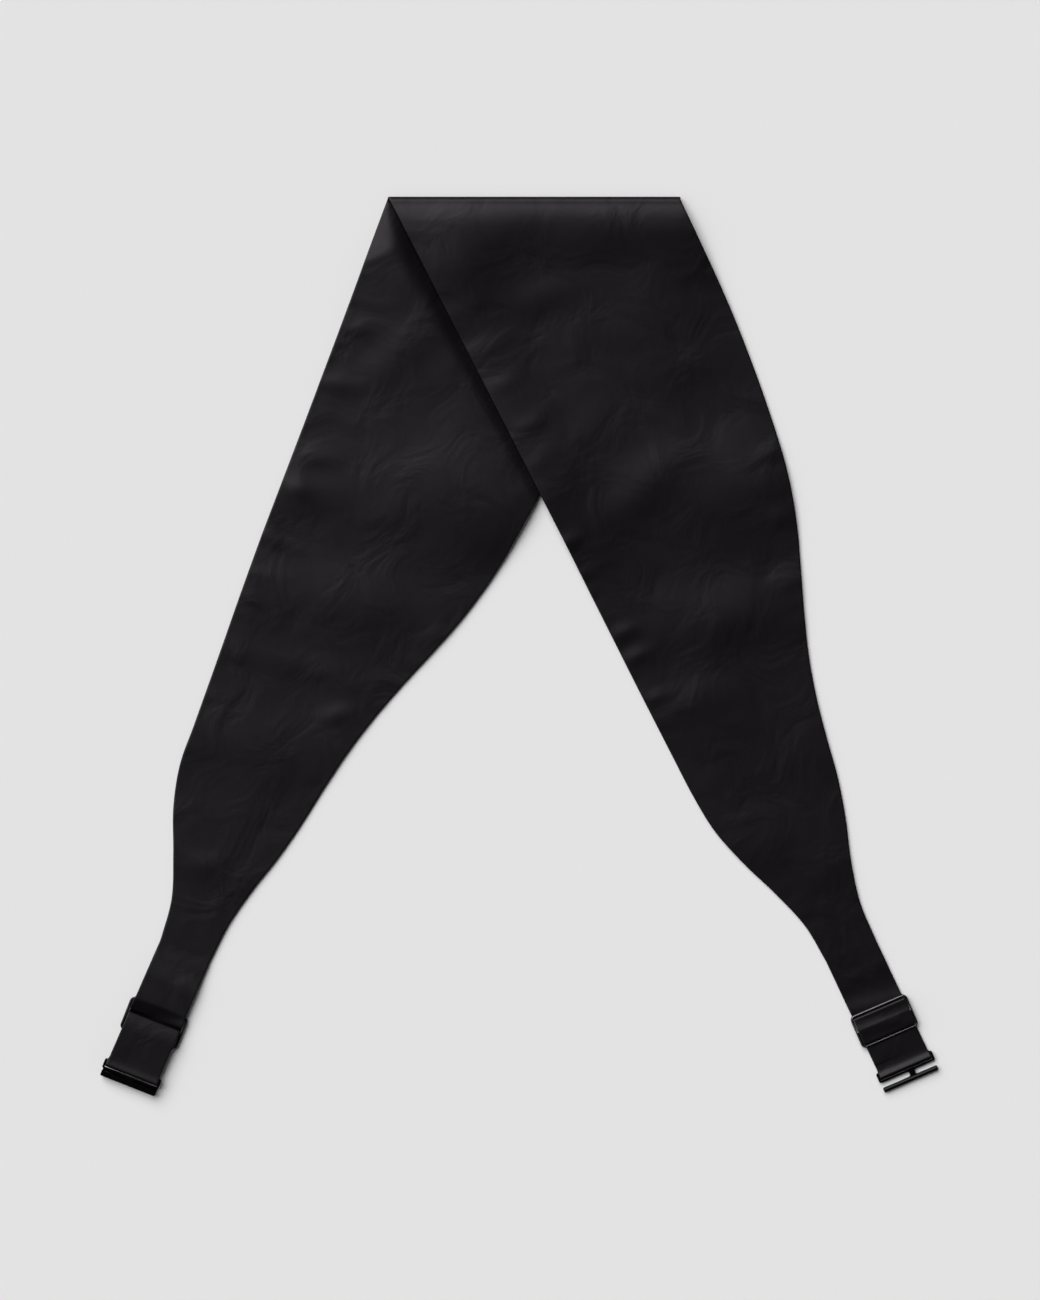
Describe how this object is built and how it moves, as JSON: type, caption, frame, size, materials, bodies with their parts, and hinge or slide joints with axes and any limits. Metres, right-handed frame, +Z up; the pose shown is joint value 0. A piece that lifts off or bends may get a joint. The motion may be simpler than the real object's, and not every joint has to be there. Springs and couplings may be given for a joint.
{
  "type": "cummerbund",
  "caption": "Satin waist sash folded once and laid flat, tapering to straps with sliders, a T-bar hook and a channel hook.",
  "frame": {"origin": "on the table, under the middle of the whole outline as it lies folded", "axes": "+Z up from the table, +Y towards the fold, +X to the right as seen from above with the fold at the top"},
  "size_m": [0.4186, 0.4494, 0.007],
  "materials": {
    "satin": "black silk satin, soft sheen",
    "lacquered_steel": "glossy black lacquer on steel and zinc alloy"
  },
  "bodies": {
    "root": {"band": "satin", "strap_left": "satin", "strap_right": "satin", "slider_left": "lacquered_steel", "slider_right": "lacquered_steel", "t_bar_hook": "lacquered_steel", "channel_hook": "lacquered_steel"}
  },
  "joints": []
}
